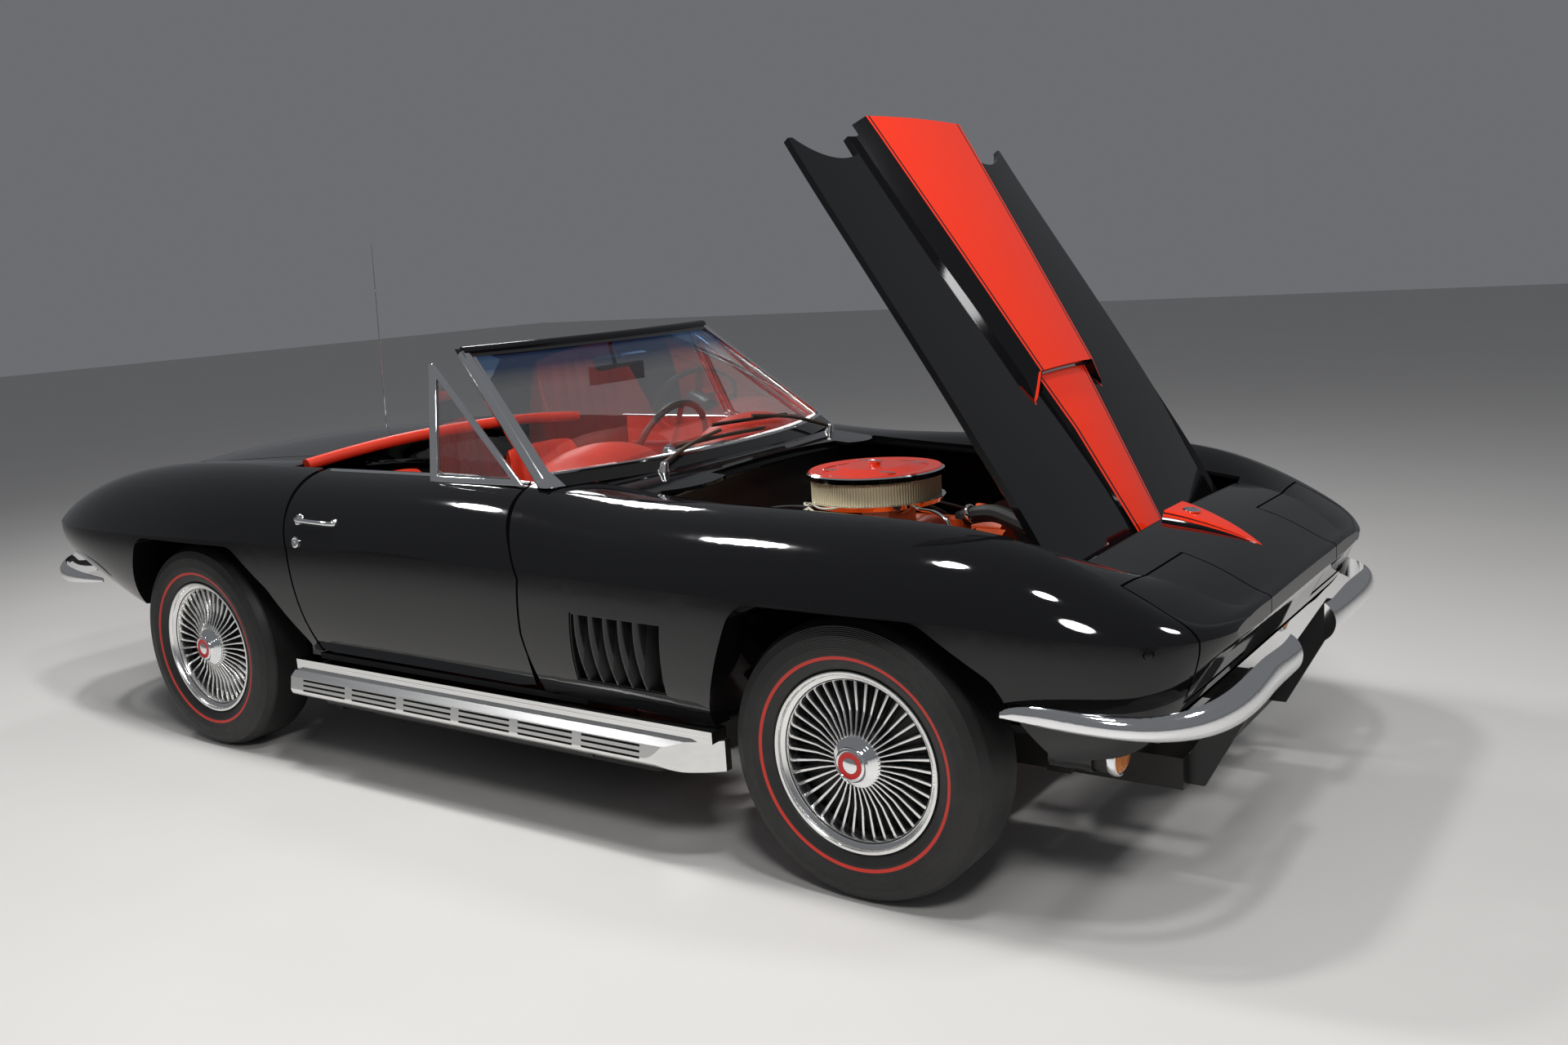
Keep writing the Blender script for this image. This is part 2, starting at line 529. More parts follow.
# Fender plugs: the bore for each pod's turning pin runs out through the fender's side, where a plug shuts it.
# Each is a low domed disc pressed in flush and painted with the body.
PIN_X, BESIDE = AXLE + 0.665, 0.013
for side, hand in SIDES:
    spots, normals = [], []
    for x in (PIN_X - BESIDE, PIN_X + BESIDE):
        hit, spot, normal, face = nodes["body_front"].ray_cast(Vector((x, 2 * hand, LAMP_Z)),
                                                               Vector((0, -hand, 0)))
        spots.append(spot)
        normals.append(normal)
    spun([(-0.006, 0), (-0.006, 0.0092), (0.0000, 0.0092), (0.0004, 0.006), (0.0005, 0)],
         (spots[0] + spots[1]) / 2, normals[0] + normals[1], 32)
    fit(f"pin_plug_{side}", "car", "body", enamel)

# Doors: gloss black skins with a bright strip along the belt, a lever handle and a round lock.
# Inside, each has a red vinyl panel with a bright bar, an armrest, a window winder and a latch knob.
VINYL_DARK, VINYL_LIGHT = (0.46, 0.021, 0.007), (0.62, 0.036, 0.011)
door_paint = Finish("door_enamel_and_trim", PAINT_BLACK, roughness=0.05)
trimmed = (abs(door_paint.y).under(0.6566) * door_paint.x.within(AXLE - 1.9, AXLE - 1.085)
           * door_paint.z.within(0.4, 0.918)).math("MINIMUM", 1.0)
door_grain = door_paint.cells(520.0)
door_paint.feed(Base_Color=door_paint.mix(trimmed, PAINT_BLACK,
                                          door_paint.mix(door_paint.noise(9.0), VINYL_DARK, VINYL_LIGHT)),
                Roughness=door_paint.ramp(trimmed, door_paint.ramp(door_paint.noise(3.0), 0.03, 0.07), 0.42))
door_paint.bump(door_grain * trimmed, 0.0006, 0.4)
dress(door_paint, "door_left", "door_right")
red_vinyl = Finish("red_vinyl", (0.6, 0.022, 0.01), roughness=0.42)
red_vinyl.tone(9.0, VINYL_DARK, VINYL_LIGHT)
red_vinyl.wear(30.0, 0.34, 0.5)
red_vinyl.bump(red_vinyl.cells(520.0), 0.0006, 0.4)


def skin(node, x, z, hand):
    """How far out a CAD node's side reaches at a height, on the left (1) or the right (-1)."""
    hit, spot, normal, face = nodes[node].ray_cast(Vector((AXLE + x, 3 * hand, z)), Vector((0, -hand, 0)))
    return spot.y


def slab(low, high, edge=0.006, steps=3):
    """A plate or block with rounded edges between two corners given ahead of the front axle."""
    bpy.ops.object.select_all(action="DESELECT")
    middle = [(a + b) / 2 for a, b in zip(low, high)]
    bpy.ops.mesh.primitive_cube_add(size=1, location=(AXLE + middle[0], middle[1], middle[2]),
                                    scale=[abs(b - a) for a, b in zip(low, high)])
    bpy.ops.object.transform_apply(location=True, rotation=True, scale=True)
    edit_all()
    bpy.ops.mesh.bevel(offset=edge, segments=steps, affect="EDGES")
    bpy.ops.object.mode_set(mode="OBJECT")
    return bpy.context.object


for side, hand in SIDES:
    door, y_in = f"door_{side}", hand * 0.6545
    belt = [(x, hand * 0.672, drop_on(door, x, hand * 0.672) + 0.0005)
            for x in (-1.085, -1.2, -1.35, -1.5, -1.65, -1.8, -1.93)]
    run(belt, 0.0062, 4, 4)
    fit(f"belt_strip_{side}", door, "chrome", chrome)
    lever_z = 0.796
    lever = [(x, skin(door, x, lever_z, hand) + hand * out, lever_z + rise) for x, out, rise in
             ((-1.895, 0.000, 0.004), (-1.893, 0.017, 0.004), (-1.87, 0.021, 0.003), (-1.8, 0.019, 0.000),
              (-1.74, 0.014, -0.003), (-1.728, 0.003, -0.004))]
    run(lever, 0.0065, 4)
    fit(f"handle_lever_{side}", door, "chrome", chrome)
    for place, x, radius in (("pivot", -1.893, 0.017), ("rest", -1.732, 0.01)):
        out_at = skin(door, x, lever_z, hand)
        spun([(-0.004, 0), (-0.004, radius), (0.004, radius), (0.009, radius * 0.6), (0.01, 0)],
             (AXLE + x, out_at, lever_z), (0.02, hand * 0.9, 0.42), 32)
        fit(f"handle_{place}_{side}", door, "chrome", chrome)
    out_at = skin(door, -1.893, 0.732, hand)
    spun([(-0.003, 0), (-0.003, 0.0165), (0.004, 0.0165), (0.006, 0.013), (0.0045, 0.0105), (0.0045, 0.004),
          (0.002, 0.003), (0.002, 0)], (AXLE - 1.893, out_at, 0.732), (0.02, hand * 0.98, 0.18), 32)
    fit(f"door_lock_{side}", door, "chrome", chrome)
    slab((-1.76, y_in, 0.64), (-1.33, y_in - hand * 0.045, 0.685), 0.014, 4)
    fit(f"armrest_{side}", door, "red_trim", red_vinyl)
    slab((-1.88, y_in, 0.815), (-1.12, y_in - hand * 0.006, 0.827), 0.0025)
    fit(f"panel_bar_{side}", door, "chrome", chrome)
    slab((-1.88, y_in, 0.5), (-1.12, y_in - hand * 0.004, 0.506), 0.0015)
    fit(f"panel_bead_{side}", door, "chrome", chrome)
    spun([(0, 0), (0, 0.026), (0.006, 0.024), (0.012, 0.01), (0.016, 0.009), (0.016, 0)],
         (AXLE - 1.42, y_in, 0.735), (0, -hand, 0), 32)
    fit(f"winder_boss_{side}", door, "chrome", chrome)
    run([(-1.42, y_in - hand * 0.013, 0.735), (-1.36, y_in - hand * 0.019, 0.712),
         (-1.318, y_in - hand * 0.021, 0.705)], 0.0045)
    fit(f"winder_arm_{side}", door, "chrome", chrome)
    spun([(0, 0), (0, 0.008), (0.018, 0.01), (0.022, 0.007), (0.022, 0)],
         (AXLE - 1.318, y_in - hand * 0.022, 0.705), (0, -hand, 0), 24)
    fit(f"winder_knob_{side}", door, "grip", rubber)

# Windscreen: curved laminated glass with a blue shade band, in bright posts over a black foot with a bead.
# Its header is a round black cap, with the mirror on a stalk from the middle.
screen_glass = Finish("tinted_screen", (0.93, 0.97, 0.96), roughness=0.0)
screen_glass.set(Transmission_Weight=1.0, IOR=1.35)
across_band = screen_glass.ramp(screen_glass.z, 0.0, 1.0, 1.148, 1.205)
screen_glass.feed(Base_Color=screen_glass.mix(across_band, (0.93, 0.97, 0.96), (0.05, 0.17, 0.5)),
                  Alpha=screen_glass.ramp(across_band, 0.32, 0.8),
                  Roughness=screen_glass.ramp(screen_glass.noise(2.0), 0.0, 0.02))
dress(screen_glass, "windshield_glass")
frame_metal = Finish("screen_frame", CHROME, metallic=1.0, roughness=0.05)
is_header = frame_metal.z.over(1.2438)
is_mirror = (abs(frame_metal.y).under(0.1185) * frame_metal.x.over(AXLE - 1.366) * frame_metal.z.over(1.05)
             * frame_metal.x.within(AXLE - 1.4, AXLE - 1.329))
is_foot = frame_metal.z.under(0.9335) * abs(frame_metal.y).under(0.652)
black_part = (is_header + is_mirror + is_foot).math("MINIMUM", 1.0)
frame_metal.feed(Base_Color=frame_metal.mix(black_part, CHROME, (0.006, 0.006, 0.006)),
                 Metallic=1 - black_part, Roughness=frame_metal.ramp(frame_metal.noise(14.0), 0.03, 0.1))
dress(frame_metal, "windshield_frame")
for side, hand in SIDES:
    run([(-1.03, hand * 0.676, 0.914), (-1.23, hand * 0.611, 1.082), (-1.43, hand * 0.546, 1.25)],
        0.0195, 6)
    fit(f"screen_post_{side}", "car", "chrome", chrome)


def glass_line(height, ahead, half_w):
    """Places along the curved glass at a height, a little ahead of its middle, out to a half width."""
    up = (height - 0.93) / 0.332
    middle, end, width = -0.872 - 0.496 * up, -1.04 - 0.396 * up, 0.69 - 0.13 * up
    bow = middle - end
    radius = (width ** 2 + bow ** 2) / (2 * bow)
    return [(middle + ahead - radius + math.sqrt(radius ** 2 - (half_w * k / 5) ** 2), half_w * k / 5, height)
            for k in range(-5, 6)]


run(glass_line(1.256, 0.0, 0.556), 0.0182, 6)
fit("header_cap", "car", "body", enamel)
run(glass_line(0.9345, 0.014, 0.655), 0.0055, 4)
fit("screen_bead", "car", "chrome", chrome)
mirror_face = Finish("mirror_silver", (0.92, 0.93, 0.94), metallic=1.0, roughness=0.01)
mirror_face.wear(6.0, 0.005, 0.02)
slab((-1.3525, -0.108, 1.122), (-1.3545, 0.108, 1.166), 0.0008, 1)
fit("mirror_face", "car", "clear", mirror_face)

# Vent windows: small triangular panes in bright frames that stand on the doors ahead of the side glass.
# Each frame is one bent channel with a rubber seal round the pane.
VENT = [(-1.078, 0.905, 0.7), (-1.432, 0.905, 0.706), (-1.508, 1.234, 0.6)]
VENT_BAR, PANE_EDGE = 0.018, 0.014
vent_pane = Finish("vent_pane", (0.93, 0.96, 0.95), roughness=0.0)
vent_pane.set(Transmission_Weight=1.0, IOR=1.35)
vent_pane.feed(Alpha=vent_pane.ramp(vent_pane.noise(3.0), 0.26, 0.34))
for side, hand in SIDES:
    corners = [Vector((AXLE + x, hand * y, z)) for x, z, y in VENT]
    normal = (corners[1] - corners[0]).cross(corners[2] - corners[0]).normalized()
    for name, thick, finish in (("frame", 0.012, chrome), ("pane", 0.004, vent_pane)):
        bpy.ops.object.select_all(action="DESELECT")
        bpy.ops.mesh.primitive_circle_add(vertices=3, fill_type="NGON")
        piece = bpy.context.object
        for vertex, corner in zip(piece.data.vertices, corners):
            vertex.co = corner - normal * thick / 2
        bpy.ops.object.mode_set(mode="EDIT")
        bpy.ops.mesh.select_mode(type="FACE")
        bpy.ops.mesh.select_all(action="SELECT")
        if name == "frame":
            bpy.ops.mesh.inset(thickness=VENT_BAR)
            bpy.ops.mesh.delete(type="FACE")
        else:
            bpy.ops.mesh.inset(thickness=PANE_EDGE)
            bpy.ops.mesh.select_all(action="INVERT")
            bpy.ops.mesh.delete(type="FACE")
        bpy.ops.mesh.select_all(action="SELECT")
        bpy.ops.mesh.extrude_region_move(TRANSFORM_OT_translate={"value": normal * thick})
        bpy.ops.mesh.select_all(action="SELECT")
        bpy.ops.mesh.normals_make_consistent(inside=False)
        if name == "frame":
            bpy.ops.mesh.bevel(offset=0.003, segments=3, affect="EDGES")
        bpy.ops.object.mode_set(mode="OBJECT")
        piece = fit(f"vent_{name}_{side}", f"door_{side}", "chrome" if name == "frame" else "clear", finish)
        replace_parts(piece, f"vent_window_{side}")
    middle = sum(corners, Vector()) / 3
    seal = [middle + (c - middle) * 0.83 for c in corners]
    seal_at = [(p.x - AXLE, p.y, p.z) for p in (seal[0], seal[1], seal[2], seal[0])]
    run(seal_at, 0.0032, 2, 2)
    fit(f"vent_seal_{side}", f"door_{side}", "grip", rubber)
    run([(-1.444, hand * 0.7, 0.905), (-1.517, hand * 0.598, 1.228)], 0.0075, 3, 2)
    fit(f"vent_post_{side}", f"door_{side}", "chrome", chrome)

# Wipers: two dark arms parked along the foot of the glass, each on a small pale pivot and holding a blade.
# The arms are dull painted steel, the blades black rubber in thin steel backs, lying on the glass.
wiper_metal = Finish("wiper_metal", (0.045, 0.024, 0.015), roughness=0.4)
wiper_metal.tone(60.0, (0.028, 0.015, 0.01), (0.07, 0.04, 0.026))
wiper_metal.wear(40.0, 0.28, 0.5)
for side, pivot, arm, blade in (
    ("right", (-0.862, -0.375), [(-0.885, -0.27, 0.945), (-0.893, -0.16, 0.966), (-0.9, -0.058, 0.976)],
     [(-0.905, -0.261, 0.956), (-0.899, -0.06, 0.963), (-0.889, 0.152, 0.957)]),
    ("left", (-0.872, 0.49), [(-0.9, 0.4, 0.95), (-0.92, 0.28, 0.978), (-0.935, 0.155, 0.992)],
     [(-0.936, -0.045, 0.991), (-0.938, 0.155, 0.985), (-0.946, 0.354, 0.973)]),
):
    foot_z = drop_on("body_front", *pivot)
    run([(*pivot, foot_z + 0.02), *arm], 0.0058, 4)
    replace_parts(fit(f"wiper_arm_{side}", "car", "frame", wiper_metal), "wipers")
    spun([(-0.01, 0), (-0.01, 0.0165), (0.004, 0.0165), (0.01, 0.0125), (0.022, 0.0115), (0.027, 0.0085),
          (0.028, 0)], (AXLE + pivot[0], pivot[1], foot_z), (0.25, 0, 1), 32)
    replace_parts(fit(f"wiper_pivot_{side}", "car", "bright", satin), "wipers")
    run(blade, 0.0042, 3)
    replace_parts(fit(f"wiper_back_{side}", "car", "frame", wiper_metal), "wipers")
    run([(x - 0.004, y, z - 0.0055) for x, y, z in blade], 0.003, 3)
    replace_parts(fit(f"wiper_rubber_{side}", "car", "grip", rubber), "wipers")

# Dashboard: red padded vinyl with a domed cowl over the gauges and a matching one for the passenger.
# The gauges are black dials in bright rims, with plain white ticks and a pointer each.
dress(red_vinyl, "dashboard")
for side, hand in SIDES:
    bpy.ops.object.select_all(action="DESELECT")
    bpy.ops.mesh.primitive_uv_sphere_add(segments=48, ring_count=24, radius=1,
                                         location=(AXLE - 1.112, hand * 0.365, 0.862),
                                         scale=(0.12, 0.258, 0.112))
    bpy.ops.object.transform_apply(location=True, rotation=True, scale=True)
    edit_all()
    bpy.ops.mesh.bisect(plane_co=(0, 0, 0.868), plane_no=(0, 0, 1), use_fill=True, clear_inner=True)
    bpy.ops.object.mode_set(mode="OBJECT")
    fit(f"dash_cowl_{side}", "car", "red_trim", red_vinyl)
dial = Finish("dial_black", (0.006, 0.006, 0.006), roughness=0.3)
DIALS = [(0.305, 0.8, 0.05), (0.44, 0.8, 0.05), (0.225, 0.838, 0.024), (0.225, 0.772, 0.024),
         (0.52, 0.838, 0.024), (0.52, 0.772, 0.024)]
marks = None
for y, z, radius in DIALS:
    across, up = dial.y - y, dial.z - z
    reach = (across * across + up * up).math("SQRT")
    ticks = ((across.math("ARCTAN2", up) * 24.0).math("SINE").over(0.86)
             * reach.within(radius * 0.7, radius * 0.86))
    needle = abs(across - up * 0.4).under(0.0016) * reach.under(radius * 0.66) * up.over(0)
    marks = ticks + needle if marks is None else marks + ticks + needle
dial.feed(Base_Color=dial.mix(marks.math("MINIMUM", 1.0), (0.006, 0.006, 0.006), (0.8, 0.8, 0.78)),
          Roughness=dial.ramp(dial.noise(20.0), 0.2, 0.35))
for i, (y, z, radius) in enumerate(DIALS):
    dial_x = AXLE - (1.2025 if z < 0.79 else 1.2105)
    spun([(-0.008, 0), (-0.008, radius + 0.005), (0.004, radius + 0.006), (0.009, radius + 0.003),
          (0.009, radius), (0.003, radius - 0.001), (0.003, 0)], (dial_x, y, z), (-1, 0, 0))
    fit(f"dial_rim_{i + 1}", "car", "chrome", chrome)
    spun([(0.0025, 0), (0.0025, radius - 0.0005), (0.0042, radius - 0.0005), (0.0042, 0)],
         (dial_x, y, z), (-1, 0, 0))
    fit(f"dial_face_{i + 1}", "car", "grip", dial)
slab((-1.217, -0.53, 0.745), (-1.19, -0.2, 0.835), 0.008)
fit("glovebox_lid", "car", "red_trim", red_vinyl)
spun([(0, 0), (0, 0.011), (0.006, 0.011), (0.008, 0.008), (0.008, 0)],
     (AXLE - 1.216, -0.365, 0.815), (-1, 0, 0), 24)
fit("glovebox_button", "car", "chrome", chrome)

# Steering wheel and console: a thin dark rim on three bright drilled spokes, with a plain horn cap.
# The console is red vinyl along the tunnel, with a short chrome lever and a black knob.
grip_dark = Finish("wheel_rim_and_spokes", (0.03, 0.012, 0.008), roughness=0.25)
tilt = math.radians(20)
HUB_X, HUB_Y, HUB_Z = AXLE - 1.462, 0.372, 0.822
gx, gy, gz = grip_dark.x - HUB_X, grip_dark.y - HUB_Y, grip_dark.z - HUB_Z
sloped = gx * math.sin(tilt) + gz * math.cos(tilt)
from_hub = (gy * gy + sloped * sloped).math("SQRT")
is_rim = from_hub.over(0.177)
grip_dark.feed(Base_Color=grip_dark.mix(is_rim, (0.8, 0.8, 0.81), grip_dark.mix(
    grip_dark.noise(30.0, 4.0, (1, 1, 0.2)), (0.02, 0.01, 0.006), (0.07, 0.032, 0.016))),
    Metallic=1 - is_rim, Roughness=grip_dark.ramp(is_rim, 0.16, 0.3))
dress(grip_dark, "steering_wheel")
toward = Vector((-math.cos(tilt), 0, math.sin(tilt)))
hub = Vector((HUB_X, HUB_Y, HUB_Z)) + toward * 0.004
spun([(-0.002, 0), (-0.002, 0.04), (0.006, 0.04), (0.012, 0.034), (0.016, 0.02), (0.017, 0)], hub, toward)
fit("horn_cap", "steering_wheel", "chrome", chrome)
console_red = Finish("console_trim", (0.45, 0.016, 0.01), roughness=0.45)
is_lever = console_red.z.over(0.4825) * console_red.x.under(AXLE - 1.2)
is_knob = is_lever * console_red.z.over(0.604)
console_hide = console_red.mix(console_red.noise(9.0), (0.46, 0.014, 0.008), (0.62, 0.026, 0.012))
lever_metal = console_red.mix(is_knob, (0.9, 0.9, 0.91), (0.008, 0.008, 0.008))
console_red.feed(Base_Color=console_red.mix(is_lever, console_hide, lever_metal),
                 Metallic=is_lever - is_knob, Roughness=console_red.ramp(is_lever, 0.44, 0.08))
console_red.bump(console_red.cells(520.0) * (1 - is_lever), 0.0006, 0.4)
dress(console_red, "console")
slab((-1.118, -0.085, 0.49), (-1.134, 0.085, 0.585), 0.004)
fit("radio_face", "car", "chrome", satin)
for i, y in enumerate((-0.062, 0.062)):
    spun([(0, 0), (0, 0.013), (0.014, 0.011), (0.016, 0.009), (0.016, 0)],
         (AXLE - 1.133, y, 0.54), (-1, 0, 0), 24)
    fit(f"radio_knob_{i + 1}", "car", "grip", rubber)
run([(-1.62, 0.118, 0.435), (-1.64, 0.118, 0.475), (-1.78, 0.118, 0.482)], 0.01)
fit("hand_brake", "car", "chrome", chrome)

# Cockpit's rear roll and seats: buckets of red hide over foam, with sewn channels in cushion and back.
# The roll along the deck's edge is red vinyl over foam, tacked down behind the seats.
ROLL_END = 0.62
roll_line = [(-2.128, y, 0.953 - 0.034 * (abs(y) / ROLL_END) ** 2.2)
             for y in (-ROLL_END, -0.45, -0.25, 0, 0.25, 0.45, ROLL_END)]
run(roll_line, 0.019, 6)
roll = fit("cockpit_roll", "car", "red_trim", red_vinyl)
hide = Finish("red_hide", (0.62, 0.022, 0.012), roughness=0.4)
hide.tone(7.0, (0.48, 0.023, 0.008), (0.68, 0.041, 0.013))
hide.wear(34.0, 0.3, 0.48)
hide.bump(hide.cells(430.0) * 0.6 + hide.noise(18.0) * 1.5, 0.0011, 0.4)
SEAT_Y = 0.372
SEAT_ROWS = [(-0.188, 0.3, 0.19), (-0.178, 0.386, 0.19), (-0.24, 0.412, 0.205), (-0.42, 0.396, 0.21),
             (-0.545, 0.38, 0.2), (-0.6, 0.47, 0.2), (-0.625, 0.64, 0.205), (-0.648, 0.8, 0.195),
             (-0.672, 0.862, 0.17), (-0.7, 0.85, 0.165), (-0.705, 0.7, 0.19), (-0.69, 0.45, 0.195),
             (-0.67, 0.3, 0.19)]
CHANNEL_DEPTH = 0.009
PIPING = 0.66
across = [-1.0, -0.93, -0.8, -PIPING] + [-0.6 + i * 0.06 for i in range(21)] + [PIPING, 0.8, 0.93, 1.0]
for side, middle_y in (("left", SEAT_Y), ("right", -SEAT_Y)):
    bpy.ops.object.select_all(action="DESELECT")
    bpy.ops.mesh.primitive_grid_add(x_subdivisions=len(SEAT_ROWS), y_subdivisions=len(across) - 1, size=2)
    seat = bpy.context.object
    for vertex in seat.data.vertices:
        row = round((vertex.co.x + 1) / 2 * len(SEAT_ROWS)) % len(SEAT_ROWS)
        step = round((vertex.co.y + 1) / 2 * (len(across) - 1))
        x, z, half_w = SEAT_ROWS[row]
        a = across[step]
        sink = 0.012 * abs(a) ** 4
        groove = CHANNEL_DEPTH if abs(a) < 0.61 and (step - 4) % 4 == 0 else 0.0
        if abs(a) == PIPING:
            groove = CHANNEL_DEPTH * 1.1
        along, up = ((0, -1) if 2 <= row <= 4 else (-1, 0) if 5 <= row <= 7 else (0, 0))
        vertex.co = (x + along * groove, middle_y + a * half_w, z - sink + up * groove)
    edit_all()
    bpy.ops.mesh.remove_doubles(threshold=0.0001)
    bpy.ops.mesh.select_mode(type="VERT")
    bpy.ops.mesh.select_all(action="DESELECT")
    bpy.ops.mesh.select_non_manifold()
    bpy.ops.mesh.edge_face_add()
    face_outward()
    smooth = seat.modifiers.new("smooth", "SUBSURF")
    smooth.levels = smooth.render_levels = 2
    bpy.ops.object.modifier_apply(modifier="smooth")
    seat = fit(f"seat_{side}_hide", "car", "red_hide", hide, angle=80)
    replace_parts(seat, f"seat_{side}")

# Road wheels: cast aluminium with forty straight polished fins between a ribbed cone and the stepped rim.
# A plain bright cap with a red ring closes the hub, and an iron brake disc turns behind.
WHEEL_Z, REAR_AXLE = 0.335, AXLE - 2.489
FRONT_Y, REAR_Y = 0.7315, 0.7405
WHEEL_SPOTS = [("front", AXLE, FRONT_Y), ("rear", REAR_AXLE, REAR_Y)]
FINS = 40
WHEEL_AXIS = ((0, 0, 0), (0, 1, 0))


def wheel_place(finish):
    """Sockets for the distance from the wheel's own axis and how far out from its middle plane."""
    along = abs(finish.x - AXLE).math("MINIMUM", abs(finish.x - REAR_AXLE))
    up = finish.z - WHEEL_Z
    return ((along * along + up * up).math("SQRT"),
            abs(finish.y) - FRONT_Y - finish.x.under(0) * (REAR_Y - FRONT_Y))


def at_wheels(name, slot, finish, angle=35):
    """Copies the active piece, made round the origin with +Y outward, to all four wheels."""
    master = bpy.context.object
    bpy.ops.object.transform_apply(location=True, rotation=True, scale=True)
    for place, x, y in WHEEL_SPOTS:
        for side, hand in SIDES:
            piece = bpy.data.objects.new(name, master.data.copy())
            bpy.context.scene.collection.objects.link(piece)
            bpy.ops.object.select_all(action="DESELECT")
            bpy.context.view_layer.objects.active = piece
            piece.select_set(True)
            piece.matrix_world = Matrix.Translation((x, hand * y, WHEEL_Z)) @ Matrix.Diagonal((1, hand, 1, 1))
            bpy.ops.object.transform_apply(location=True, rotation=True, scale=True)
            bpy.ops.object.mode_set(mode="EDIT")
            face_outward()
            piece = fit(f"{name}_{place}_{side}", f"wheel_{place}_{side}", slot, finish, angle=angle)
            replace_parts(piece, f"wheel_{place}_{side}")
    bpy.data.objects.remove(master, do_unlink=True)


wheel_metal = Finish("wheel_aluminium", (0.86, 0.86, 0.85), metallic=1.0, roughness=0.2)
wheel_r, wheel_out = wheel_place(wheel_metal)
deep = wheel_metal.ramp(wheel_out, 1.0, 0.0, 0.026, 0.046) * wheel_r.under(0.1895)
wheel_metal.feed(Base_Color=wheel_metal.mix(deep, (0.88, 0.88, 0.87), (0.05, 0.05, 0.05)),
                 Roughness=wheel_metal.ramp(wheel_metal.noise(50.0), 0.13, 0.28) + deep * 0.3)
cast = Finish("brake_iron", (0.16, 0.15, 0.14), metallic=0.9, roughness=0.45)
cast_r = wheel_place(cast)[0]
cast.feed(Roughness=cast.ramp((cast_r * 3000.0).math("SINE"), 0.32, 0.5, -1, 1),
          Base_Color=cast.mix(cast.noise(30.0), (0.2, 0.19, 0.18), (0.13, 0.1, 0.08)))
spun([(-0.083, 0.2155), (-0.083, 0.2075), (-0.072, 0.19), (0.046, 0.1885), (0.062, 0.189), (0.068, 0.1915),
      (0.074, 0.201), (0.0765, 0.205), (0.0815, 0.2065), (0.0845, 0.2085), (0.0855, 0.212),
      (0.0845, 0.2155), (0.077, 0.2165), (0.071, 0.1955), (0.06, 0.1918), (-0.07, 0.192),
      (-0.077, 0.2165)], *WHEEL_AXIS, 96)
at_wheels("rim", "wheel", wheel_metal)
spun([(0.01, 0.03), (0.01, 0.189), (0.02, 0.189), (0.024, 0.15), (0.024, 0.03)], *WHEEL_AXIS, 72)
at_wheels("dish", "wheel", wheel_metal)
bpy.ops.object.select_all(action="DESELECT")
bpy.ops.mesh.primitive_circle_add(vertices=6, fill_type="NGON")
fin = bpy.context.object
FIN_ROOT, FIN_END = 0.055, 0.1888
FIN_OUTLINE = [(FIN_ROOT, 0.016), (FIN_ROOT, 0.073), (0.08, 0.0645), (0.118, 0.056), (FIN_END, 0.058),
               (FIN_END, 0.016)]
for vertex, (radius, out) in zip(fin.data.vertices, FIN_OUTLINE):
    vertex.co = (radius, out, 0)
edit_all()
bpy.ops.mesh.extrude_region_move(TRANSFORM_OT_translate={"value": (0, 0, 0.001)})
bpy.ops.object.mode_set(mode="OBJECT")
for vertex in fin.data.vertices:
    half = 0.0017 + 0.002 * (vertex.co.x - FIN_ROOT) / (FIN_END - FIN_ROOT)
    vertex.co.z = half if vertex.co.z > 0.0005 else -half
edit_all()
bpy.ops.mesh.normals_make_consistent(inside=False)
bpy.ops.mesh.bevel(offset=0.001, segments=2, affect="EDGES")
bpy.ops.mesh.select_all(action="SELECT")
bpy.ops.mesh.spin(steps=FINS - 1, angle=2 * math.pi * (FINS - 1) / FINS, center=(0, 0, 0), axis=(0, 1, 0),
                  dupli=True)
bpy.ops.object.mode_set(mode="OBJECT")
at_wheels("fins", "wheel", wheel_metal)
spun([(0.016, 0.04), (0.016, 0.064), (0.062, 0.064), (0.068, 0.062), (0.0705, 0.0575), (0.0725, 0.0595),
      (0.076, 0.0525), (0.078, 0.054), (0.0815, 0.047), (0.0835, 0.0485), (0.087, 0.0415),
      (0.089, 0.043), (0.093, 0.0385), (0.097, 0.0375), (0.0985, 0.0345), (0.0965, 0.0325),
      (0.0965, 0.012)], *WHEEL_AXIS, 64)
at_wheels("hub_cone", "chrome", chrome)
cap = Finish("hub_cap", CHROME, metallic=1.0, roughness=0.06)
cap_r = wheel_place(cap)[0]
red_ring = cap_r.within(0.0185, 0.0315)
cap.feed(Base_Color=cap.mix(red_ring, CHROME, (0.6, 0.01, 0.008)), Metallic=1 - red_ring,
         Roughness=cap.ramp(cap.noise(30.0), 0.03, 0.12))
spun([(0.09, 0), (0.09, 0.033), (0.0975, 0.033), (0.0985, 0.0315), (0.0978, 0.03), (0.0978, 0.02),
      (0.099, 0.0185), (0.101, 0.014), (0.1025, 0.007), (0.103, 0)], *WHEEL_AXIS, 48)
at_wheels("cap", "chrome", cap)
spun([(-0.08, 0.02), (-0.08, 0.042), (-0.062, 0.044), (-0.062, 0.149), (-0.0555, 0.149), (-0.0555, 0.095),
      (-0.0485, 0.095), (-0.0485, 0.149), (-0.042, 0.149), (-0.042, 0.078), (0.009, 0.07),
      (0.009, 0.02)], *WHEEL_AXIS, 64)
at_wheels("brake_disc", "wheel", cast)

